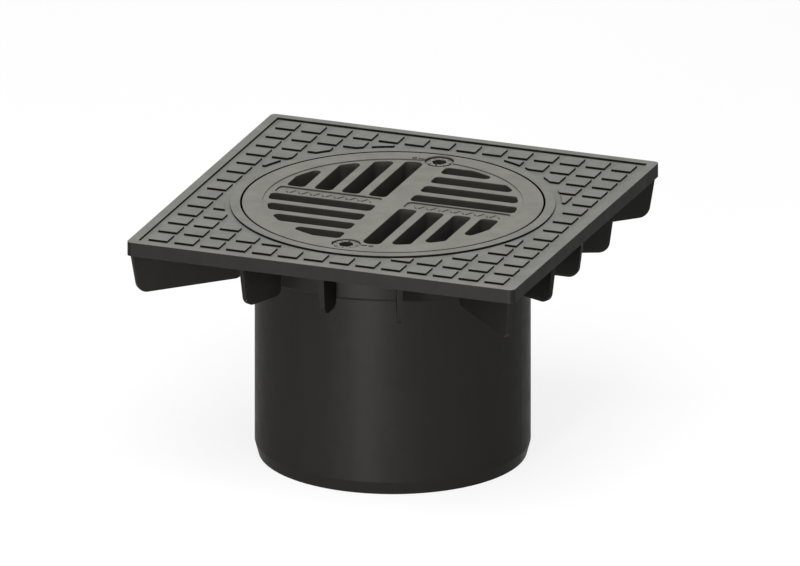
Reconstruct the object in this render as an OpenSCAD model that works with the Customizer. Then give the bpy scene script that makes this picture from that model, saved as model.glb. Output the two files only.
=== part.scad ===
/* [Frame plate] */
// Overall height from the spigot's lower end to the tread surface
overall_h = 190; // [120:1:400]
// Side length of the square plate
plate_size = 300; // [290:1:420]
// Radius of the plate's four upright corners
plate_corner_r = 4; // [2:0.5:12]
// Height of the rim that runs round the plate
rim_h = 10.3; // [8:0.1:20]
// Wall thickness of that rim below the plate
rim_wall = 4; // [2.5:0.1:6]
// Thickness of the plate
plate_t = 6; // [4:0.1:7.5]
// Width of the raised border round the tread field
border_w = 7; // [4:0.5:9]
// Depth of the grooves between the tread pads
groove_depth = 1.6; // [0.6:0.1:2.2]

/* [Tread pads] */
// Side length of one square pad
pad_size = 14.5; // [8:0.5:17]
// Distance from pad to pad, centre to centre
pad_pitch = 20; // [18:0.5:30]
// Free width left between the raised ring and the pads
pad_gap = 4.6; // [2:0.1:8]

/* [Grate seat] */
// Radius of the round opening that takes the grate
seat_r = 110.7; // [106:0.1:112]
// Width of the raised ring round that opening
ring_w = 7.2; // [5:0.1:9]
// Depth of the seat below the tread surface
seat_depth = 18; // [14:0.5:19]
// Width of the seat flange, inwards from that opening
flange_w = 6.7; // [5.2:0.1:7.2]
// Thickness of the seat flange
flange_t = 4; // [3:0.1:5]

/* [Bowl] */
// Distance by which the bowl's outer wall stands out from the raised ring
bowl_step = 2.1; // [1.6:0.1:4]
// Wall thickness of the bowl beside the lock arms
bowl_wall = 4.8; // [3:0.1:5.4]
// Clearance between the lock arms and the bowl's floor
arm_floor_gap = 1.5; // [1:0.1:4]
// Thickness of the bowl's floor where it meets the spigot
bowl_floor_t = 3.5; // [2.5:0.1:4]
// Fall of the bowl's floor towards the spigot
bowl_fall = 1; // [0:0.1:1.2]
// Rounding of the bowl's lower outer edge
bowl_edge_r = 2; // [0.5:0.1:3]

/* [Spigot] */
// Outer diameter of the spigot
spigot_d = 200; // [190:0.5:206]
// Wall thickness of the spigot
spigot_wall = 4.9; // [4:0.1:7]
// Height of the chamfer at the spigot's lower end
chamfer_h = 9.7; // [5:0.1:12]
// Angle of that chamfer from the upright
chamfer_angle = 15; // [8:0.5:16]

/* [Ribs] */
// Number of radial ribs
rib_count = 16; // [8:8:24]
// Depth of the ribs' lower edge below the bowl's underside
rib_foot = 5.5; // [3.5:0.5:9.5]
// Rib thickness where it joins the plate
rib_t_top = 4.4; // [3.6:0.1:5]
// Rib thickness at its lower edge
rib_t_low = 3.2; // [2:0.1:3.5]
// Set-back of the ribs from the rim's outer face
rib_inset = 2; // [1:0.1:3]
// Draft angle of the ribs' outer edges
rib_draft = 7; // [3:0.5:9]
// Radius of the ribs' lower outer corner
rib_round = 8.5; // [4:0.5:10]

/* [Grate] */
// Radial gap between the grate and its seat
grate_gap = 1.6; // [0.5:0.1:2]
// Height by which the grate lies below the frame's ring
grate_drop = 0.1; // [0:0.05:0.5]
// Play between the grate's underside and the seat flange
seat_play = 0.2; // [0.1:0.05:0.4]
// Width of the grate's outer band
band_w = 14.4; // [13.2:0.1:16]
// Depth of the slot field below that band
field_drop = 0.6; // [0.2:0.05:1.2]
// Thickness of the grate's top deck
deck_t = 5; // [4:0.1:6.5]
// Width of the grate's outer rim on the seat flange
grate_rim_w = 6; // [4:0.1:6.5]
// Wall between the slots' outer ends and the hollow under the outer band
inner_ring_w = 4; // [3:0.1:5]
// Thickness of the webs in that hollow
web_t = 3; // [2:0.1:4]
// Number of those webs
web_count = 16; // [8:8:16]

/* [Slots] */
// Slots in each quarter of the grate
slot_count = 4; // [1:1:4]
// Width of one slot
slot_w = 13.8; // [9.5:0.1:14.4]
// Distance from slot to slot, centre to centre
slot_pitch = 21; // [20:0.1:21.4]
// Half the width of the grate's central cross
cross_half = 9.1; // [8.6:0.1:9.6]
// Distance from the slot field's edge to the circle on which the slots end
slot_edge = 3.9; // [3:0.1:6]
// Corner radius of the slots
slot_round = 3.7; // [1.5:0.1:4]
// Corner radius of a slot beside a lock
slot_lock_round = 6; // [4.5:0.1:6.2]
// Wall thickness beside the hollows under the cross
cross_wall = 3.6; // [2.5:0.1:4]

/* [Name panels] */
// Half the width of each of the two bare panels
panel_half = 6.9; // [5:0.1:7.4]
// Depth of the panels below the slot field
panel_depth = 1; // [0.4:0.1:1.4]
// Distance from the centre to a panel's near end
panel_start = 9.9; // [9:0.1:20]
// Distance from the slot field's edge to a panel's far end
panel_edge = 5.2; // [4.5:0.1:30]
// Corner radius of the panels
panel_round = 3.5; // [2:0.1:4.5]

/* [Locks] */
// Distance of the lock centres from the grate's outer edge
lock_edge = 13.6; // [13:0.1:14.2]
// Radius of the recess that takes a lock head
lock_recess_r = 10.7; // [10.2:0.1:10.8]
// Depth of that recess
lock_recess_depth = 5.5; // [4.5:0.1:7]
// Radial gap round the lock head
lock_head_gap = 0.3; // [0.2:0.05:0.6]
// Height by which the lock head lies below the grate's outer band
lock_head_drop = 0.75; // [0.3:0.05:1]
// Height by which the lock head's rim lies below that band
head_rim_drop = 1.8; // [1.2:0.1:2.4]
// Width of that rim
head_rim_w = 1.8; // [1:0.1:2.4]
// Play under the lock head
lock_head_play = 0.2; // [0.1:0.05:0.3]
// Radius of the lock barrel
barrel_r = 7; // [6.7:0.1:7.4]
// Radial running clearance of the barrel in the grate
barrel_clear = 0.08; // [0.03:0.01:0.1]
// Wall thickness of the boss round the recess
boss_wall = 2.6; // [1.4:0.1:3]
// Width across the flats of the key socket
key_flats = 10; // [7:0.1:10.4]
// Depth of the key socket
key_depth = 7.5; // [4:0.1:8]
// Width of the pointer in the lock head
pointer_w = 1.8; // [1:0.1:3]
// Number of marks round the lock head, the pointer among them
tick_count = 8; // [4:4:12]
// Width of a mark
tick_w = 0.9; // [0.5:0.1:1.4]
// Length of a mark
tick_len = 1.5; // [1:0.1:2.5]
// Depth of the marks in the lock heads and beside them
mark_depth = 0.8; // [0.2:0.1:1]
// Distance from a lock's centre to the line beside it
dash_start = 11.2; // [11:0.1:13]
// Length of that line
dash_len = 4.8; // [2:0.1:6]
// Width of that line and of the small ring at its end
dash_w = 1.8; // [0.8:0.1:2]
// Outer radius of that ring
dot_r = 1.8; // [1.5:0.1:2.2]
// Distance from the end of that line to the ring
dot_gap = 1.3; // [1:0.1:3]

/* [Lock arms] */
// Play between an arm and the flange above it
arm_play = 0.5; // [0.3:0.05:0.8]
// Thickness of an arm
arm_t = 6; // [5.5:0.1:6.2]
// Width of an arm
arm_w = 10; // [8:0.1:11]
// Clearance between the turned arm and the bowl's wall
arm_wall_gap = 3.7; // [2:0.1:7]
// Clearance between an arm's hub and the seat flange
arm_hub_gap = 0.5; // [0.3:0.1:1.1]
// Side of the square that drives an arm
square_w = 7.6; // [7:0.1:8]
// Clearance on each side of that square
square_clear = 0.1; // [0.05:0.01:0.15]
// Length by which the square stops short of the arm's counterbore
square_short = 0.3; // [0.2:0.05:0.5]

/* [Screws, washers and seals] */
// Radius of the screw's shank
screw_r = 2.45; // [2:0.05:2.6]
// Clearance of the shank in its hole
screw_clear = 0.05; // [0.03:0.01:0.1]
// Length of the shank inside the lock
screw_len = 11; // [8:0.5:13]
// Radius of the screw head
screw_head_r = 4.6; // [4.2:0.1:4.8]
// Height of the screw head
screw_head_h = 2.4; // [2:0.1:2.4]
// Width across the flats of the screw's socket
screw_flats = 3; // [2:0.1:4]
// Radial gap round the screw head in the arm
screw_head_gap = 0.4; // [0.2:0.05:0.5]
// Thickness of the washer
washer_t = 0.8; // [0.5:0.1:0.9]
// Section radius of the sealing ring
seal_r = 0.88; // [0.8:0.01:0.9]
// Height of the sealing ring above the grate's underside
seal_up = 5; // [3.5:0.1:6]
// Clearance of the sealing ring in its groove
seal_clear = 0.04; // [0.02:0.01:0.06]

/* [Hidden] */
$fn = 96;
eps = 0.01;
arc_relief = 0.02;
body_colour = "#4c4b48";
grate_colour = "#55544f";

// Heights of the frame body, counted up from the spigot's lower end
z_top = overall_h;
z_field = z_top - groove_depth;
z_plate = z_top - plate_t;
z_rim = z_top - rim_h;
z_seat = z_top - seat_depth;
z_flange = z_seat - flange_t;
z_arm_top = z_flange - arm_play;
z_arm_low = z_arm_top - arm_t;
z_floor = z_arm_low - arm_floor_gap - bowl_fall;
z_bowl = z_floor - bowl_floor_t;
z_rib = z_bowl - rib_foot;
flange_r = seat_r - flange_w;
ring_r = seat_r + ring_w;
pad_clear_r = ring_r + pad_gap;
pad_keep_r = pad_clear_r + pad_size / 4;
bowl_r = ring_r + bowl_step;
bowl_inner_r = bowl_r - bowl_wall;
spigot_r = spigot_d / 2;
spigot_inner_r = spigot_r - spigot_wall;
field_half = plate_size / 2 - border_w;
pad_gap_w = pad_pitch - pad_size;
pads_per_side = floor((2 * field_half - pad_gap_w) / pad_pitch);

// Heights of the grate, the locks and their arms
z_grate_top = z_top - grate_drop;
z_grate_low = z_seat + seat_play;
z_slot_field = z_grate_top - field_drop;
z_deck = z_grate_top - deck_t;
grate_r = seat_r - grate_gap;
field_r = grate_r - band_w;
slot_circle_r = field_r - slot_edge;
panel_end = field_r - panel_edge;
lock_pos = grate_r - lock_edge;
boss_r = lock_recess_r + boss_wall;
hollow_in_r = slot_circle_r + inner_ring_w;
hollow_out_r = grate_r - grate_rim_w;
z_lock_face = z_grate_top - lock_head_drop;
z_recess = z_grate_top - lock_recess_depth;
head_r = lock_recess_r - lock_head_gap;
disc_r = head_r - head_rim_w;
mark_end = disc_r - 0.6;
arm_reach = bowl_inner_r - arm_wall_gap - lock_pos;
arm_hub_r = flange_r - arm_hub_gap - lock_pos;
z_counterbore = z_arm_low + screw_head_h + washer_t;
seal_centre_r = barrel_r + barrel_clear - seal_r - seal_clear;
z_seal = z_grate_low + seal_up;

// A square with rounded corners, centred
module round_square(size, r) {
    square([size, size - 2 * r], center = true);
    square([size - 2 * r, size], center = true);
    for (x = [-1, 1], y = [-1, 1])
        translate([x * (size / 2 - r), y * (size / 2 - r)]) circle(r);
}

// One slot along +X between y = low and y = low + slot_w, ending on the slot circle
module slot_outline(low, r_near) {
    high = low + slot_w;
    r = slot_round;
    far_in = slot_circle_r - r;
    near_in = slot_circle_r - r_near;
    q_far = [sqrt(far_in * far_in - (high - r) * (high - r)), high - r];
    q_near = [sqrt(near_in * near_in - (low + r_near) * (low + r_near)), low + r_near];
    polygon([
        [cross_half, low + r],
        [cross_half + r, low],
        [q_near[0], low],
        q_near,
        q_far,
        [q_far[0], high],
        [cross_half + r, high],
        [cross_half, high - r]
    ]);
    intersection() {
        circle(slot_circle_r - arc_relief);
        polygon([q_near * 0.98, q_near * 1.1, q_far * 1.1, q_far * 0.98]);
    }
    translate([cross_half + r, low + r]) circle(r);
    translate([cross_half + r, high - r]) circle(r);
    translate(q_far) circle(r);
    translate(q_near) circle(r_near);
}

// The slots of one quarter; the first lies beside a lock in two of the quarters
module slot_quarter(r_first) {
    for (i = [0 : slot_count - 1])
        if (norm([cross_half + 2 * slot_round, cross_half + i * slot_pitch + slot_w]) < slot_circle_r)
            slot_outline(cross_half + i * slot_pitch, i == 0 ? r_first : slot_round);
}

// The turned section of bowl, seat, flange and spigot
module body_section() {
    chamfer_in = chamfer_h * tan(chamfer_angle);
    difference() {
        polygon([
            [spigot_inner_r, 0],
            [spigot_r - chamfer_in, 0],
            [spigot_r, chamfer_h],
            [spigot_r, z_bowl],
            [bowl_r - bowl_edge_r, z_bowl],
            [bowl_r, z_bowl + bowl_edge_r],
            [bowl_r, z_plate + eps],
            [ring_r, z_plate + eps],
            [ring_r, z_top],
            [seat_r, z_top],
            [seat_r, z_seat],
            [flange_r, z_seat],
            [flange_r, z_flange],
            [bowl_inner_r, z_flange],
            [bowl_inner_r, z_floor + bowl_fall],
            [spigot_inner_r, z_floor]
        ]);
    }
    translate([bowl_r - bowl_edge_r, z_bowl + bowl_edge_r]) circle(bowl_edge_r);
}

// The upright outline of one rib, along the radius; slope is the angle to the plate side's normal
module rib_outline(slope) {
    flat_start = (plate_size / 2 - rib_inset) / cos(slope);
    corner_start = (plate_size / 2 - plate_corner_r) * sqrt(2) * cos(45 - slope)
        + plate_corner_r - rib_inset * sqrt(2);
    start = min(flat_start, corner_start);
    lean = tan(rib_draft) / cos(slope);
    zc = z_rib + rib_round;
    line_r = start - lean * (z_rim - zc);
    stretch = sqrt(1 + lean * lean);
    rc = line_r - rib_round * stretch;
    t_out = [rc + rib_round / stretch, zc - rib_round * lean / stretch];
    foot = z_bowl - z_rib;
    polygon([
        [bowl_r - bowl_wall / 2, z_bowl + foot],
        [bowl_r + eps, z_rib + foot],
        [bowl_r + foot, z_rib],
        [rc, z_rib],
        t_out,
        [start, z_rim],
        [start - rim_wall / 4, z_plate + eps],
        [bowl_r - bowl_wall / 2, z_plate + eps]
    ]);
    translate([rc, zc]) circle(rib_round);
    translate([bowl_r + foot, z_rib + foot]) circle(foot);
}

// One rib, thinner towards its lower edge
module rib(angle) {
    quarter = abs(((angle + 45) % 90) - 45);
    reach = plate_size;
    rotate([0, 0, angle]) intersection() {
        rotate([90, 0, 0]) translate([0, 0, -rib_t_top]) linear_extrude(2 * rib_t_top) rib_outline(quarter);
        rotate([90, 0, 90]) linear_extrude(reach) polygon([
            [-rib_t_low / 2, z_rib - eps],
            [rib_t_low / 2, z_rib - eps],
            [rib_t_top / 2, z_plate + 2 * eps],
            [-rib_t_top / 2, z_plate + 2 * eps]
        ]);
    }
}

// The raised pads of the tread field, cut back round the ring
module pads() {
    span = (pads_per_side - 1) / 2;
    difference() {
        for (i = [-span : span], j = [-span : span])
            if (norm([abs(i) * pad_pitch + pad_size / 2, abs(j) * pad_pitch + pad_size / 2]) > pad_keep_r)
                translate([i * pad_pitch - pad_size / 2, j * pad_pitch - pad_size / 2, z_field - eps])
                    cube([pad_size, pad_size, groove_depth + eps]);
        translate([0, 0, z_field - 1]) cylinder(h = groove_depth + 2, r = pad_clear_r);
    }
}

module frame_body() {
    color(body_colour) {
        rotate_extrude() body_section();
        difference() {
            translate([0, 0, z_rim]) linear_extrude(rim_h) round_square(plate_size, plate_corner_r);
            translate([0, 0, z_field]) linear_extrude(groove_depth + 1) square(2 * field_half, center = true);
            translate([0, 0, z_rim - 1]) linear_extrude(z_plate - z_rim + 1)
                round_square(plate_size - 2 * rim_wall, plate_corner_r / 2);
            translate([0, 0, z_rim - 2]) cylinder(h = rim_h + 4, r = seat_r + ring_w / 2);
        }
        pads();
        for (i = [0 : rib_count - 1])
            rib(i * 360 / rib_count);
    }
}

// The two panels beside the centre, left bare
module panels() {
    long = panel_end - panel_start;
    for (s = [0, 180])
        rotate([0, 0, s]) translate([panel_start, 0, z_slot_field - panel_depth])
            linear_extrude(panel_depth + field_drop + 1) {
                translate([0, -panel_half + panel_round]) square([long, 2 * (panel_half - panel_round)]);
                translate([panel_round, -panel_half]) square([long - 2 * panel_round, 2 * panel_half]);
                for (x = [panel_round, long - panel_round], y = [-1, 1])
                    translate([x, y * (panel_half - panel_round)]) circle(panel_round);
            }
}

// The hollow under the grate's outer band, between its webs and bosses
module band_hollow() {
    difference() {
        translate([0, 0, z_grate_low - 1]) cylinder(h = z_deck - z_grate_low + 1, r = hollow_out_r);
        translate([0, 0, z_grate_low - 2]) cylinder(h = z_deck - z_grate_low + 4, r = hollow_in_r);
        for (i = [0 : web_count - 1])
            rotate([0, 0, (i + 0.5) * 360 / web_count])
                translate([hollow_in_r - 2, -web_t / 2, z_grate_low - 3])
                    cube([hollow_out_r - hollow_in_r + 4, web_t, z_deck - z_grate_low + 6]);
        for (s = [-1, 1])
            translate([0, s * lock_pos, z_grate_low - 3]) cylinder(h = z_deck - z_grate_low + 6, r = boss_r);
    }
}

// The hollows under the arms of the central cross
module cross_hollow() {
    half = cross_half - cross_wall;
    for (i = [0 : 3])
        rotate([0, 0, 90 * i]) translate([cross_half, -half, z_grate_low - 1])
            cube([lock_pos - boss_r - cross_wall - cross_half, 2 * half, z_deck - z_grate_low + 1]);
}

module grate() {
    color(grate_colour) difference() {
        translate([0, 0, z_grate_low]) cylinder(h = z_grate_top - z_grate_low, r = grate_r);
        translate([0, 0, z_slot_field]) cylinder(h = field_drop + 1, r = field_r);
        for (i = [0 : 3])
            rotate([0, 0, 90 * i]) translate([0, 0, z_grate_low - 1])
                linear_extrude(z_grate_top - z_grate_low + 2)
                    slot_quarter(i % 2 == 0 ? slot_round : slot_lock_round);
        panels();
        band_hollow();
        cross_hollow();
        for (a = [0, 180])
            rotate([0, 0, a]) translate([dash_start, -lock_pos, z_grate_top - mark_depth]) linear_extrude(1) {
                translate([0, -dash_w / 2]) square([dash_len, dash_w]);
                translate([dash_len + dot_gap + dot_r, 0]) difference() {
                    circle(dot_r);
                    circle(dot_r - dash_w * 0.6);
                }
            }
        for (s = [-1, 1])
            translate([0, s * lock_pos, 0]) {
                translate([0, 0, z_recess]) cylinder(h = lock_recess_depth + 1, r = lock_recess_r);
                translate([0, 0, z_grate_low - 1])
                    cylinder(h = z_grate_top - z_grate_low + 2, r = barrel_r + barrel_clear);
            }
    }
}

// A hexagonal prism by its width across the flats
module hexagon(flats, h) {
    cylinder(h = h, r = flats / sqrt(3), $fn = 6);
}

// The front lock: stepped head, barrel with its seal groove, and the square for the arm
module lock() {
    translate([0, -lock_pos, 0]) difference() {
        union() {
            translate([0, 0, z_recess + lock_head_play])
                cylinder(h = z_grate_top - head_rim_drop - z_recess - lock_head_play, r = head_r);
            translate([0, 0, z_recess + lock_head_play])
                cylinder(h = z_lock_face - z_recess - lock_head_play, r = disc_r);
            translate([0, 0, z_arm_top]) cylinder(h = z_recess - z_arm_top + 1, r = barrel_r);
            translate([-square_w / 2, -square_w / 2, z_counterbore + square_short])
                cube([square_w, square_w, z_arm_top - z_counterbore]);
        }
        translate([0, 0, z_lock_face - key_depth]) hexagon(key_flats, key_depth + 1);
        translate([-pointer_w / 2, key_flats / 2 + 0.6, z_lock_face - mark_depth])
            cube([pointer_w, mark_end - key_flats / 2 - 0.6, mark_depth + 1]);
        for (i = [1 : tick_count - 1])
            rotate([0, 0, i * 360 / tick_count])
                translate([-tick_w / 2, mark_end - tick_len, z_lock_face - mark_depth])
                    cube([tick_w, tick_len, mark_depth + 1]);
        translate([0, 0, z_arm_low])
            cylinder(h = z_counterbore - z_arm_low + screw_len + 0.5, r = screw_r + screw_clear);
        translate([0, 0, z_seal - seal_r - seal_clear]) difference() {
            cylinder(h = 2 * (seal_r + seal_clear), r = barrel_r + 1);
            translate([0, 0, -1])
                cylinder(h = 2 * (seal_r + seal_clear) + 2, r = seal_centre_r - seal_r - seal_clear);
        }
    }
}

// The front lock's arm, at rest along the grate's edge, clear of the seat flange
module cam() {
    translate([0, -lock_pos, 0]) difference() {
        translate([0, 0, z_arm_low]) {
            cylinder(h = arm_t, r = arm_hub_r);
            translate([0, -arm_w / 2, 0]) cube([arm_reach - arm_w / 2, arm_w, arm_t]);
            translate([arm_reach - arm_w / 2, 0, 0]) cylinder(h = arm_t, r = arm_w / 2);
        }
        translate([-square_w / 2 - square_clear, -square_w / 2 - square_clear, z_counterbore - eps])
            cube([square_w + 2 * square_clear, square_w + 2 * square_clear, arm_t]);
        translate([0, 0, z_arm_low - 1])
            cylinder(h = z_counterbore - z_arm_low + 1, r = screw_head_r + screw_head_gap);
    }
}

// The screw that holds the front arm, its head down
module cam_screw() {
    translate([0, -lock_pos, z_arm_low]) difference() {
        union() {
            cylinder(h = screw_head_h, r = screw_head_r);
            cylinder(h = screw_head_h + washer_t + screw_len, r = screw_r);
        }
        translate([0, 0, -1]) hexagon(screw_flats, 1 + screw_head_h * 0.6);
    }
}

// The washer between the screw head and the arm
module cam_washer() {
    translate([0, -lock_pos, z_arm_low + screw_head_h]) difference() {
        cylinder(h = washer_t, r = screw_head_r);
        translate([0, 0, -1]) cylinder(h = washer_t + 2, r = screw_r + 2 * screw_clear);
    }
}

// The sealing ring in the barrel's groove
module lock_seal() {
    translate([0, -lock_pos, z_seal]) rotate_extrude() translate([seal_centre_r, 0]) circle(seal_r, $fn = 32);
}

module front_lock() {
    color("#504f4b") lock();
}
module rear_lock() {
    color("#504f4b") rotate([0, 0, 180]) lock();
}
module front_cam() {
    color("#3a3a38") cam();
}
module rear_cam() {
    color("#3a3a38") rotate([0, 0, 180]) cam();
}
module front_cam_screw() {
    color("#b5b6b4") cam_screw();
}
module rear_cam_screw() {
    color("#b5b6b4") rotate([0, 0, 180]) cam_screw();
}
module front_cam_washer() {
    color("#c3c4c2") cam_washer();
}
module rear_cam_washer() {
    color("#c3c4c2") rotate([0, 0, 180]) cam_washer();
}
module front_lock_seal() {
    color("#1b1b1b") lock_seal();
}
module rear_lock_seal() {
    color("#1b1b1b") rotate([0, 0, 180]) lock_seal();
}

frame_body();
grate();
front_lock();
rear_lock();
front_cam();
rear_cam();
front_cam_screw();
rear_cam_screw();
front_cam_washer();
rear_cam_washer();
front_lock_seal();
rear_lock_seal();
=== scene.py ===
import math

import bmesh
import bpy
from mathutils import Matrix, Vector


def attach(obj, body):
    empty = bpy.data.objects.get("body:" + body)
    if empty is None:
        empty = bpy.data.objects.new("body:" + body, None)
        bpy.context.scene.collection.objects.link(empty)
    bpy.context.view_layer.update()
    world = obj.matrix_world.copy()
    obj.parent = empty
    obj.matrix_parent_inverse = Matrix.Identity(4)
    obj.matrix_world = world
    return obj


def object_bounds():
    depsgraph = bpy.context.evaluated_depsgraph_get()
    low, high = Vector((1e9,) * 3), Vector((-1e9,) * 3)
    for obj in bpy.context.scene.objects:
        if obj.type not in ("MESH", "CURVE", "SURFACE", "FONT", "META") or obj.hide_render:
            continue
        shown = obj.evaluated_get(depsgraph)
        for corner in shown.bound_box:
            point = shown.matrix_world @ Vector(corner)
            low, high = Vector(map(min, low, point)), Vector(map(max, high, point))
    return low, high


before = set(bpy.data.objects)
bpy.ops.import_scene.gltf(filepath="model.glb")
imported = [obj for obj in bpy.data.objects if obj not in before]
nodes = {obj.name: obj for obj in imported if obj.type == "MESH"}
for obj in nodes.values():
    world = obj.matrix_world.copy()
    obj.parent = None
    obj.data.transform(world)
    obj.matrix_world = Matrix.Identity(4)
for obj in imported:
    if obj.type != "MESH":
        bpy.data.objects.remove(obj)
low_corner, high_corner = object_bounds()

MM = 0.001
TOP_HEIGHT = high_corner[2]
START_OBJECTS = ("Cube", "Light", "Camera")
scene = bpy.context.scene

for start_name in START_OBJECTS:
    start_object = bpy.data.objects.get(start_name)
    if start_object is not None and start_name not in nodes:
        bpy.data.objects.remove(start_object, do_unlink=True)


# Shader helpers. The four places are the colour sockets of the Mix node; the edge mask grows as the rounded
# normal turns away from the flat one.

SEED_STEP = (1.0, 2.3, -1.7)
MIX_FACTOR, MIX_FIRST, MIX_SECOND, MIX_RESULT = 0, 6, 7, 2
BEVEL_SAMPLES = 6
EDGE_TURN = (0.99, 0.75)


def start_material(name):
    """A new node material, its tree, its shader and its object coordinates."""
    material = bpy.data.materials.new(name)
    material.use_nodes = True
    tree = material.node_tree
    shader = tree.nodes["Principled BSDF"]
    coords = tree.nodes.new("ShaderNodeTexCoord")
    return material, tree, shader, coords


def stretched(tree, coords, scale):
    """The object coordinates stretched by three factors, for grain that runs one way."""
    mapping = tree.nodes.new("ShaderNodeMapping")
    mapping.inputs["Scale"].default_value = scale
    tree.links.new(coords.outputs["Object"], mapping.inputs["Vector"])
    return mapping.outputs["Vector"]


def moved(tree, coords, seed):
    """The object coordinates moved by a seed, so that two plastics don't share one pattern."""
    node = tree.nodes.new("ShaderNodeVectorMath")
    node.operation = "ADD"
    node.inputs[1].default_value = [seed * step for step in SEED_STEP]
    tree.links.new(coords.outputs["Object"], node.inputs[0])
    return node.outputs["Vector"]


def noise(tree, vector, scale, detail, rough):
    """A noise value from 0 to 1; scale counts its bumps in one metre."""
    node = tree.nodes.new("ShaderNodeTexNoise")
    node.inputs["Scale"].default_value = scale
    node.inputs["Detail"].default_value = detail
    node.inputs["Roughness"].default_value = rough
    tree.links.new(vector, node.inputs["Vector"])
    return node.outputs["Fac"]


def remap(tree, value, from_low, from_high, to_low=0.0, to_high=1.0, smooth=False):
    """A value moved from one range to another, held at both ends."""
    node = tree.nodes.new("ShaderNodeMapRange")
    node.interpolation_type = "SMOOTHSTEP" if smooth else "LINEAR"
    node.inputs["From Min"].default_value = from_low
    node.inputs["From Max"].default_value = from_high
    node.inputs["To Min"].default_value = to_low
    node.inputs["To Max"].default_value = to_high
    tree.links.new(value, node.inputs["Value"])
    return node.outputs["Result"]


def maths(tree, operation, first, second):
    """One sum on two values; either may be a plain number."""
    node = tree.nodes.new("ShaderNodeMath")
    node.operation = operation
    for socket, value in zip(node.inputs, (first, second)):
        if isinstance(value, (int, float)):
            socket.default_value = value
        else:
            tree.links.new(value, socket)
    return node.outputs["Value"]


def times(tree, first, second):
    """Two values multiplied."""
    return maths(tree, "MULTIPLY", first, second)


def blend_colours(tree, factor, first, second, mode="MIX"):
    """Two colours mixed by a factor; any of the three may be a plain value."""
    node = tree.nodes.new("ShaderNodeMix")
    node.data_type = "RGBA"
    node.blend_type = mode
    for place, value in ((MIX_FACTOR, factor), (MIX_FIRST, first), (MIX_SECOND, second)):
        socket = node.inputs[place]
        if isinstance(value, (int, float, tuple)):
            socket.default_value = value
        else:
            tree.links.new(value, socket)
    return node.outputs[MIX_RESULT]


def bump(tree, height, strength, distance, normal=None):
    """A bump, on top of another normal if one is given."""
    node = tree.nodes.new("ShaderNodeBump")
    node.inputs["Strength"].default_value = strength
    node.inputs["Distance"].default_value = distance
    tree.links.new(height, node.inputs["Height"])
    if normal is not None:
        tree.links.new(normal, node.inputs["Normal"])
    return node.outputs["Normal"]


def rounded_normal(tree, radius):
    """The normal of a surface whose edges are rounded by a radius."""
    node = tree.nodes.new("ShaderNodeBevel")
    node.samples = BEVEL_SAMPLES
    node.inputs["Radius"].default_value = radius
    return node.outputs["Normal"]


def dot_product(tree, first, second):
    """The dot product of a linked vector and another, linked or plain."""
    node = tree.nodes.new("ShaderNodeVectorMath")
    node.operation = "DOT_PRODUCT"
    tree.links.new(first, node.inputs[0])
    if isinstance(second, tuple):
        node.inputs[1].default_value = second
    else:
        tree.links.new(second, node.inputs[1])
    return node.outputs["Value"]


def soft_edges(tree, radius):
    """The normal of softly rounded edges, and a mask of where those edges are."""
    normal = rounded_normal(tree, radius)
    geometry = tree.nodes.new("ShaderNodeNewGeometry")
    turn = dot_product(tree, normal, geometry.outputs["Normal"])
    return normal, remap(tree, turn, *EDGE_TURN)


# The plastics. A grain is a noise's bumps in one metre, its detail and its roughness. A range is the pair
# of values that a mask starts from and ends at. An amount or a shade is the lowest and the highest result.
# A share is the most that a mask changes.

# The first grain mottles the painted light on what faces up
TOP_LIGHT_GRAIN = (38.0, 5.0, 0.62)
FLOW_GRAIN = (70.0, 4.0, 0.55)
SPECKLE_GRAIN = (1100.0, 2.0, 0.6)
WEAR_GRAIN = (160.0, 4.0, 0.6)
GLOSS_GRAIN = (95.0, 4.0, 0.6)

FLOW_STRETCH = (1.0, 1.0, 0.25)
WIDE_RANGE = (0.25, 0.75)
MIDDLE_RANGE = (0.3, 0.7)
FACING_UP_RANGE = (0.25, 0.92)
# The amount of painted light on what faces up, which is painted lighter as if lit from above
TOP_LIGHT_AMOUNT = (0.86, 1.0)
FLOW_SHADE = (0.9, 1.1)
SPECKLE_SHADE = (0.93, 1.07)

WEAR_RANGE = (0.35, 0.65)
WEAR_AMOUNT = (0.25, 1.0)
WEAR_SHARE = 0.6
EDGE_RADIUS = 0.12 * MM

# Each family of scuffs has its stretch, its grain and its range
SCUFFS = (
    ((9.0, 160.0, 40.0), (9.0, 3.0, 0.7), (0.64, 0.74)),
    ((140.0, 12.0, 40.0), (8.0, 3.0, 0.7), (0.65, 0.75)),
)
SCUFF_SHARE = 0.18

# The thin line of painted shade lies on top faces, along the edges towards this side
EDGE_SHADE_SIDE = (0.353, -0.935, 0.0)
EDGE_SHADE_RANGE = (0.1, 0.3)
EDGE_SHADE_SHARE = 0.85
EDGE_SHADE_WIDTH = 0.8 * MM

GLOSS_SPREAD = 0.05
SCUFF_ROUGHNESS = 0.08
EDGE_ROUGHNESS = -0.05

# Each bump has its grain, its strength and its height
BUMPS = (
    ((1500.0, 2.0, 0.55), 0.5, 0.06 * MM),
    ((420.0, 3.0, 0.5), 0.35, 0.09 * MM),
    ((26.0, 2.0, 0.4), 0.08, 0.35 * MM),
)

SHEEN_LEVEL = 0.012
SHEEN_TINT = 11.8


def upward_mask(tree, coords):
    """A mask of what faces up."""
    parts = tree.nodes.new("ShaderNodeSeparateXYZ")
    tree.links.new(coords.outputs["Normal"], parts.inputs["Vector"])
    return remap(tree, parts.outputs["Z"], *FACING_UP_RANGE, smooth=True)


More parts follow.
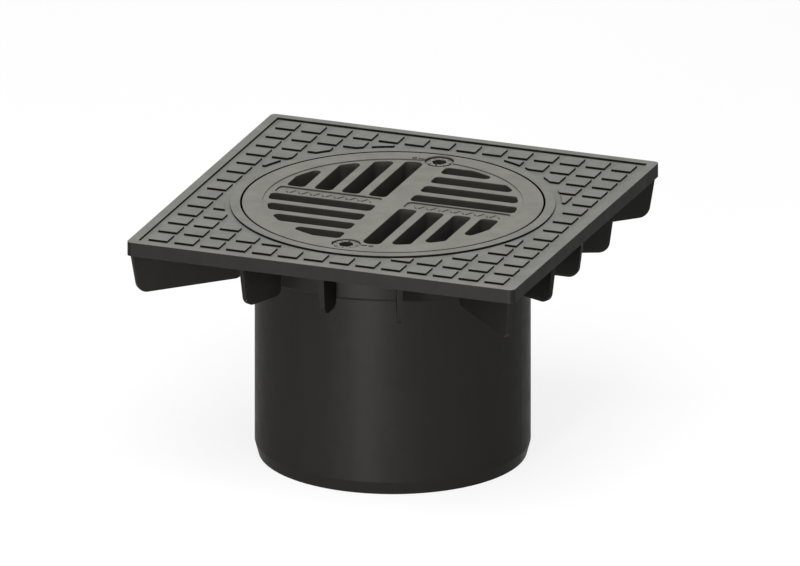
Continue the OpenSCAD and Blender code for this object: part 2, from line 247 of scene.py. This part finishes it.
def moulding_shade(tree, coords, place):
    """A grey near white that varies with flow marks and fine speckles."""
    flow_noise = noise(tree, stretched(tree, coords, FLOW_STRETCH), *FLOW_GRAIN)
    flow = remap(tree, flow_noise, *WIDE_RANGE, *FLOW_SHADE)
    speckle = remap(tree, noise(tree, place, *SPECKLE_GRAIN), *WIDE_RANGE, *SPECKLE_SHADE)
    shade = times(tree, flow, speckle)
    grey = tree.nodes.new("ShaderNodeCombineColor")
    for socket in grey.inputs[:3]:
        tree.links.new(shade, socket)
    return grey.outputs["Color"]


def scuff_mask(tree, coords, facing_up):
    """A mask of faint scuffs that run both ways over what faces up."""
    masks = [
        remap(tree, noise(tree, stretched(tree, coords, stretch), *grain), *scuff_range)
        for stretch, grain, scuff_range in SCUFFS
    ]
    return times(tree, maths(tree, "MAXIMUM", *masks), facing_up)


def painted_edge_shade_mask(tree, width, facing_up):
    """A mask of the thin line of painted shade on top faces, along the edges that face the front."""
    turn = dot_product(tree, rounded_normal(tree, width), EDGE_SHADE_SIDE)
    return times(tree, remap(tree, turn, *EDGE_SHADE_RANGE), facing_up)


def plastic_roughness(tree, place, roughness, scuffs, edge_mask):
    """The roughness, uneven from place to place, with duller scuffs and shinier edges."""
    limits = (roughness - GLOSS_SPREAD, roughness + GLOSS_SPREAD)
    uneven = remap(tree, noise(tree, place, *GLOSS_GRAIN), *MIDDLE_RANGE, *limits)
    scuffed = maths(tree, "ADD", uneven, times(tree, scuffs, SCUFF_ROUGHNESS))
    return maths(tree, "ADD", scuffed, times(tree, edge_mask, EDGE_ROUGHNESS))


def moulded_plastic(
        name, side, top, edge, roughness, seed, edge_radius=EDGE_RADIUS, edge_shade_width=EDGE_SHADE_WIDTH):
    """Dark moulded plastic: fine mould grain, flow mottling, faint scuffs, painted light on what faces up,
    and painted shade along front edges.
    """
    material, tree, shader, coords = start_material(name)
    place = moved(tree, coords, seed)
    facing_up = upward_mask(tree, coords)
    edge_normal, edge_mask = soft_edges(tree, edge_radius)
    scuffs = scuff_mask(tree, coords, facing_up)

    # Painted light: what faces up is painted in the lighter top colour, as if lit from above, and mottled
    # by noise
    top_light = remap(tree, noise(tree, place, *TOP_LIGHT_GRAIN), *MIDDLE_RANGE, *TOP_LIGHT_AMOUNT)
    colour = blend_colours(tree, times(tree, facing_up, top_light), side, top)
    colour = blend_colours(tree, 1.0, colour, moulding_shade(tree, coords, place), "MULTIPLY")
    worn = remap(tree, noise(tree, place, *WEAR_GRAIN), *WEAR_RANGE, *WEAR_AMOUNT)
    wear = times(tree, times(tree, edge_mask, worn), WEAR_SHARE)
    colour = blend_colours(tree, wear, colour, edge)
    colour = blend_colours(tree, times(tree, scuffs, SCUFF_SHARE), colour, edge)
    # Painted shade: a dark line on top faces along the edges that face the front
    edge_shade = times(tree, painted_edge_shade_mask(tree, edge_shade_width, facing_up), EDGE_SHADE_SHARE)
    colour = blend_colours(tree, edge_shade, colour, side)

    normal = edge_normal
    for grain, strength, height in BUMPS:
        normal = bump(tree, noise(tree, place, *grain), strength, height, normal)

    tree.links.new(colour, shader.inputs["Base Color"])
    rough = plastic_roughness(tree, place, roughness, scuffs, edge_mask)
    tree.links.new(rough, shader.inputs["Roughness"])
    tree.links.new(normal, shader.inputs["Normal"])
    shader.inputs["Specular IOR Level"].default_value = SHEEN_LEVEL
    shader.inputs["Specular Tint"].default_value = (SHEEN_TINT, SHEEN_TINT, SHEEN_TINT, 1.0)
    return material


# Steel and rubber

RING_STRETCH = (300.0, 300.0, 3000.0)
RING_DETAIL = (3.0, 0.6)
RING_BUMP = (0.25, 0.02 * MM)
STEEL_GLOSS = (-0.07, 0.09)
STEEL_EDGE_RADIUS = 0.15 * MM
STEEL_EDGE_SHARE = 0.5
STEEL_EDGE = (0.75, 0.75, 0.74, 1.0)
STAIN_GRAIN = (300.0, 4.0, 0.6)
STAIN_RANGE = (0.35, 0.7)
STAIN_SHARE = 0.5
STAIN = (0.36, 0.35, 0.33, 1.0)

BLOOM_GRAIN = (400.0, 4.0, 0.6)
BLOOM_RANGE = (0.4, 0.7)
BLOOM_SHARE = 0.6
RUBBER_BLACK = (0.008, 0.008, 0.008, 1.0)
RUBBER_BLOOM = (0.03, 0.03, 0.029, 1.0)
RUBBER_GLOSS = (0.6, 0.8)
RUBBER_GRAIN = (2500.0, 2.0, 0.5)
RUBBER_BUMP = (0.4, 0.03 * MM)


def steel(name, tint, roughness, ring_scale):
    """Turned stainless steel with fine rings of tool marks and softly broken edges."""
    material, tree, shader, coords = start_material(name)
    shader.inputs["Metallic"].default_value = 1.0
    rings = noise(tree, stretched(tree, coords, RING_STRETCH), ring_scale, *RING_DETAIL)
    stain = remap(tree, noise(tree, coords.outputs["Object"], *STAIN_GRAIN), *STAIN_RANGE, 0.0, STAIN_SHARE)
    edge_normal, edge_mask = soft_edges(tree, STEEL_EDGE_RADIUS)
    colour = blend_colours(tree, stain, tint, STAIN)
    colour = blend_colours(tree, times(tree, edge_mask, STEEL_EDGE_SHARE), colour, STEEL_EDGE)
    limits = [roughness + change for change in STEEL_GLOSS]
    tree.links.new(colour, shader.inputs["Base Color"])
    tree.links.new(remap(tree, rings, *MIDDLE_RANGE, *limits), shader.inputs["Roughness"])
    tree.links.new(bump(tree, rings, *RING_BUMP, edge_normal), shader.inputs["Normal"])
    return material


def rubber(name):
    """Black sealing rubber, matt, with a faint bloom."""
    material, tree, shader, coords = start_material(name)
    place = coords.outputs["Object"]
    bloom = noise(tree, place, *BLOOM_GRAIN)
    bloomed = remap(tree, bloom, *BLOOM_RANGE, 0.0, BLOOM_SHARE)
    colour = blend_colours(tree, bloomed, RUBBER_BLACK, RUBBER_BLOOM)
    tree.links.new(colour, shader.inputs["Base Color"])
    tree.links.new(remap(tree, bloom, *MIDDLE_RANGE, *RUBBER_GLOSS), shader.inputs["Roughness"])
    tree.links.new(bump(tree, noise(tree, place, *RUBBER_GRAIN), *RUBBER_BUMP), shader.inputs["Normal"])
    return material


# Looks of the CAD nodes

# The side colours are the plastic's dark colour; the top colours are painted light, lighter because what
# faces up is lit from above. The cover's and the locks' side colours are painted lighter than the frame's,
# as painted light on the walls of the slots and the key socket.
BODY_SIDE = (0.0090, 0.0083, 0.0075, 1.0)
BODY_TOP = (0.252, 0.251, 0.226, 1.0)
BODY_EDGE = (0.240, 0.237, 0.212, 1.0)
GRATE_SIDE = (0.056, 0.053, 0.0465, 1.0)
GRATE_TOP = (0.258, 0.256, 0.228, 1.0)
GRATE_EDGE = (0.245, 0.242, 0.216, 1.0)
LOCK_SIDE = (0.045, 0.043, 0.039, 1.0)
SCREW_TINT = (0.58, 0.58, 0.57, 1.0)
WASHER_TINT = (0.64, 0.64, 0.62, 1.0)

frame_plastic = moulded_plastic(
    "frame_plastic_look", BODY_SIDE, BODY_TOP, BODY_EDGE, roughness=0.40, seed=1.0)
grate_plastic = moulded_plastic(
    "grate_plastic_look", GRATE_SIDE, GRATE_TOP, GRATE_EDGE, roughness=0.42, seed=7.0, edge_shade_width=1.8 * MM)
lock_plastic = moulded_plastic(
    "lock_plastic_look", LOCK_SIDE, GRATE_TOP, GRATE_EDGE, roughness=0.38, seed=13.0, edge_radius=0.15 * MM)
cam_plastic = moulded_plastic(
    "cam_plastic_look", LOCK_SIDE, BODY_TOP, BODY_EDGE, roughness=0.45, seed=19.0, edge_radius=0.3 * MM)
screw_steel = steel("screw_steel_look", SCREW_TINT, roughness=0.27, ring_scale=1.1)
washer_steel = steel("washer_steel_look", WASHER_TINT, roughness=0.22, ring_scale=1.2)
seal_rubber = rubber("seal_rubber_look")

NODE_LOOKS = {"frame_body": frame_plastic, "grate": grate_plastic}
for end in ("front", "rear"):
    NODE_LOOKS[end + "_lock"] = lock_plastic
    NODE_LOOKS[end + "_cam"] = cam_plastic
    NODE_LOOKS[end + "_cam_screw"] = screw_steel
    NODE_LOOKS[end + "_cam_washer"] = washer_steel
    NODE_LOOKS[end + "_lock_seal"] = seal_rubber

for node_name, look in NODE_LOOKS.items():
    for material_slot in nodes[node_name].material_slots:
        material_slot.material = look


# Raised non-slip bars in the cover's two long panels, where the real cover carries raised words.
# Sizes here are in millimetres and BAR_LEAN is in degrees; the panels' ends are counted from the cover's
# centre, and the bars' sink goes below the panel's floor.

PANEL_DEPTH = 1.7
PANEL_FLOOR = TOP_HEIGHT / MM - PANEL_DEPTH
PANEL_START = 9.9
PANEL_END = 89.5
PANEL_MARGINS = 12.0
BAR_HEIGHT = 0.62
BAR_LENGTH = 6.6
BAR_WIDTH = 1.25
BAR_PITCH = 4.6
BAR_LEAN = 28.0
BAR_SINK = 0.05
BAR_STEPS = 5
BAR_CHAMFER = 0.22
BAR_SHOULDER_INSET = 0.08
BAR_TOP_INSET = 0.3


def bar_outline(radius, angle):
    """The points of one bar's round-ended outline about its middle, turned by an angle."""
    reach = (BAR_LENGTH - BAR_WIDTH) / 2
    points = []
    for end_place, start_angle in ((reach, -90.0), (-reach, 90.0)):
        for step in range(BAR_STEPS + 1):
            turn = math.radians(start_angle + 180.0 * step / BAR_STEPS)
            x = end_place + radius * math.cos(turn)
            y = radius * math.sin(turn)
            points.append((
                x * math.cos(angle) - y * math.sin(angle),
                x * math.sin(angle) + y * math.cos(angle),
            ))
    return points


def add_bar(mesh, centre, angle):
    """One low bar with round ends and a chamfered top, added to the mesh at a centre in millimetres."""
    levels = (
        (-BAR_SINK, 0.0),
        (BAR_HEIGHT - BAR_CHAMFER, BAR_SHOULDER_INSET),
        (BAR_HEIGHT, BAR_TOP_INSET),
    )
    loops = []
    for height, inset in levels:
        outline = bar_outline(BAR_WIDTH / 2 - inset, angle)
        corners = [Vector((centre[0] + x, centre[1] + y, centre[2] + height)) * MM for x, y in outline]
        loops.append([mesh.verts.new(corner) for corner in corners])
    count = len(loops[0])
    for below, above in zip(loops, loops[1:]):
        for i in range(count):
            following = (i + 1) % count
            mesh.faces.new((below[i], below[following], above[following], above[i]))
    mesh.faces.new(loops[-1])
    mesh.faces.new(list(reversed(loops[0])))


def panel_bars(name, side):
    """The row of bars in one panel; side is 1 for the +X panel and -1 for the other."""
    mesh = bmesh.new()
    length = PANEL_END - PANEL_START
    count = int((length - PANEL_MARGINS) // BAR_PITCH) + 1
    first = PANEL_START + (length - (count - 1) * BAR_PITCH) / 2
    for i in range(count):
        lean = math.radians(90.0 + (BAR_LEAN if i % 2 == 0 else -BAR_LEAN))
        add_bar(mesh, (side * (first + i * BAR_PITCH), 0.0, PANEL_FLOOR), lean)
    bmesh.ops.recalc_face_normals(mesh, faces=mesh.faces)
    data = bpy.data.meshes.new(name)
    mesh.to_mesh(data)
    mesh.free()
    data.materials.append(grate_plastic)
    piece = bpy.data.objects.new(name, data)
    scene.collection.objects.link(piece)
    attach(piece, "cover")


panel_bars("panel_bars_right", 1)
panel_bars("panel_bars_left", -1)


# Floor and background

FLOOR_RADIUS = 12.0
FLOOR_SEGMENTS = 96
FLOOR_GAP = 0.1 * MM
FLOOR_GREY = (0.8, 0.8, 0.8, 1.0)
FLOOR_GLOW_SHARE = 0.7
FLOOR_GLOW = 1.17
WORLD_WHITE = (1.0, 1.0, 1.0, 1.0)
WORLD_LIGHT = 0.38
WORLD_SEEN = 1.0


def seen_directly(tree):
    """1 for what the camera sees straight, mirrored or through glass, 0 for the light on things."""
    path = tree.nodes.new("ShaderNodeLightPath")
    seen = maths(tree, "MAXIMUM", path.outputs["Is Camera Ray"], path.outputs["Is Glossy Ray"])
    return maths(tree, "MAXIMUM", seen, path.outputs["Is Transmission Ray"])


def floor_look():
    """A pale floor that keeps the object's shadow and is almost white where it is seen."""
    material = bpy.data.materials.new("floor_look")
    material.use_nodes = True
    tree = material.node_tree
    tree.nodes.remove(tree.nodes["Principled BSDF"])
    diffuse = tree.nodes.new("ShaderNodeBsdfDiffuse")
    diffuse.inputs["Color"].default_value = FLOOR_GREY
    glow = tree.nodes.new("ShaderNodeEmission")
    glow.inputs["Strength"].default_value = FLOOR_GLOW
    mix = tree.nodes.new("ShaderNodeMixShader")
    tree.links.new(times(tree, seen_directly(tree), FLOOR_GLOW_SHARE), mix.inputs["Fac"])
    tree.links.new(diffuse.outputs["BSDF"], mix.inputs[1])
    tree.links.new(glow.outputs["Emission"], mix.inputs[2])
    tree.links.new(mix.outputs["Shader"], tree.nodes["Material Output"].inputs["Surface"])
    return material


def add_floor():
    """The round floor, just under the spigot's end."""
    mesh = bmesh.new()
    bmesh.ops.create_circle(mesh, cap_ends=True, segments=FLOOR_SEGMENTS, radius=FLOOR_RADIUS)
    data = bpy.data.meshes.new("floor")
    mesh.to_mesh(data)
    mesh.free()
    data.materials.append(floor_look())
    floor = bpy.data.objects.new("floor", data)
    floor.location.z = -FLOOR_GAP
    scene.collection.objects.link(floor)


def add_world():
    """White surroundings: full white where they are seen, and a soft light on things."""
    world = bpy.data.worlds.new("studio")
    world.use_nodes = True
    tree = world.node_tree
    backdrop = tree.nodes["Background"]
    backdrop.inputs["Color"].default_value = WORLD_WHITE
    strength = remap(tree, seen_directly(tree), 0.0, 1.0, WORLD_LIGHT, WORLD_SEEN)
    tree.links.new(strength, backdrop.inputs["Strength"])
    scene.world = world


add_floor()
add_world()


# Lamps: place and target in metres, width and height in metres, power in watts

def soft_lamp(name, place, target, width, height, watts):
    """A rectangular soft light at place that points at target."""
    data = bpy.data.lights.new(name, "AREA")
    data.shape = "RECTANGLE"
    data.size = width
    data.size_y = height
    data.energy = watts
    lamp = bpy.data.objects.new(name, data)
    lamp.location = place
    lamp.rotation_mode = "QUATERNION"
    lamp.rotation_quaternion = (Vector(target) - Vector(place)).to_track_quat("-Z", "Y")
    scene.collection.objects.link(lamp)


LAMP_TARGET = (0.0, 0.0, 0.1)
soft_lamp("overhead", (0.2, -1.0, 2.3), LAMP_TARGET, width=1.8, height=1.8, watts=38.5)
soft_lamp("front", (0.0, -2.2, 0.17), LAMP_TARGET, width=0.42, height=0.3, watts=44.0)


# Camera: a parallel projection, fitted to the four corners of the plate in the photograph

AZIMUTH = math.radians(20.69)
ELEVATION = math.radians(19.42)
VIEW_WIDTH = 0.57925
VIEW_DISTANCE = 6.0
CLIP_START = 0.1
CLIP_END = 60.0
AIM_RIGHT = 5.246 * MM
AIM_DOWN = 58.60 * MM


def add_camera():
    """The camera, which looks at a point set off from the centre of the plate's top."""
    right = Vector((math.cos(AZIMUTH), math.sin(AZIMUTH), 0.0))
    forward = Vector((
        -math.sin(AZIMUTH) * math.cos(ELEVATION),
        math.cos(AZIMUTH) * math.cos(ELEVATION),
        -math.sin(ELEVATION),
    ))
    upward = right.cross(forward)
    data = bpy.data.cameras.new("camera")
    data.type = "ORTHO"
    data.ortho_scale = VIEW_WIDTH
    data.clip_start = CLIP_START
    data.clip_end = CLIP_END
    aim = Vector((0.0, 0.0, TOP_HEIGHT)) + right * AIM_RIGHT - upward * AIM_DOWN
    place = aim - forward * VIEW_DISTANCE
    turn = Matrix((right, upward, -forward)).transposed()
    camera = bpy.data.objects.new("camera", data)
    camera.matrix_world = Matrix.Translation(place) @ turn.to_4x4()
    scene.collection.objects.link(camera)
    scene.camera = camera


add_camera()
scene.view_settings.view_transform = "Standard"
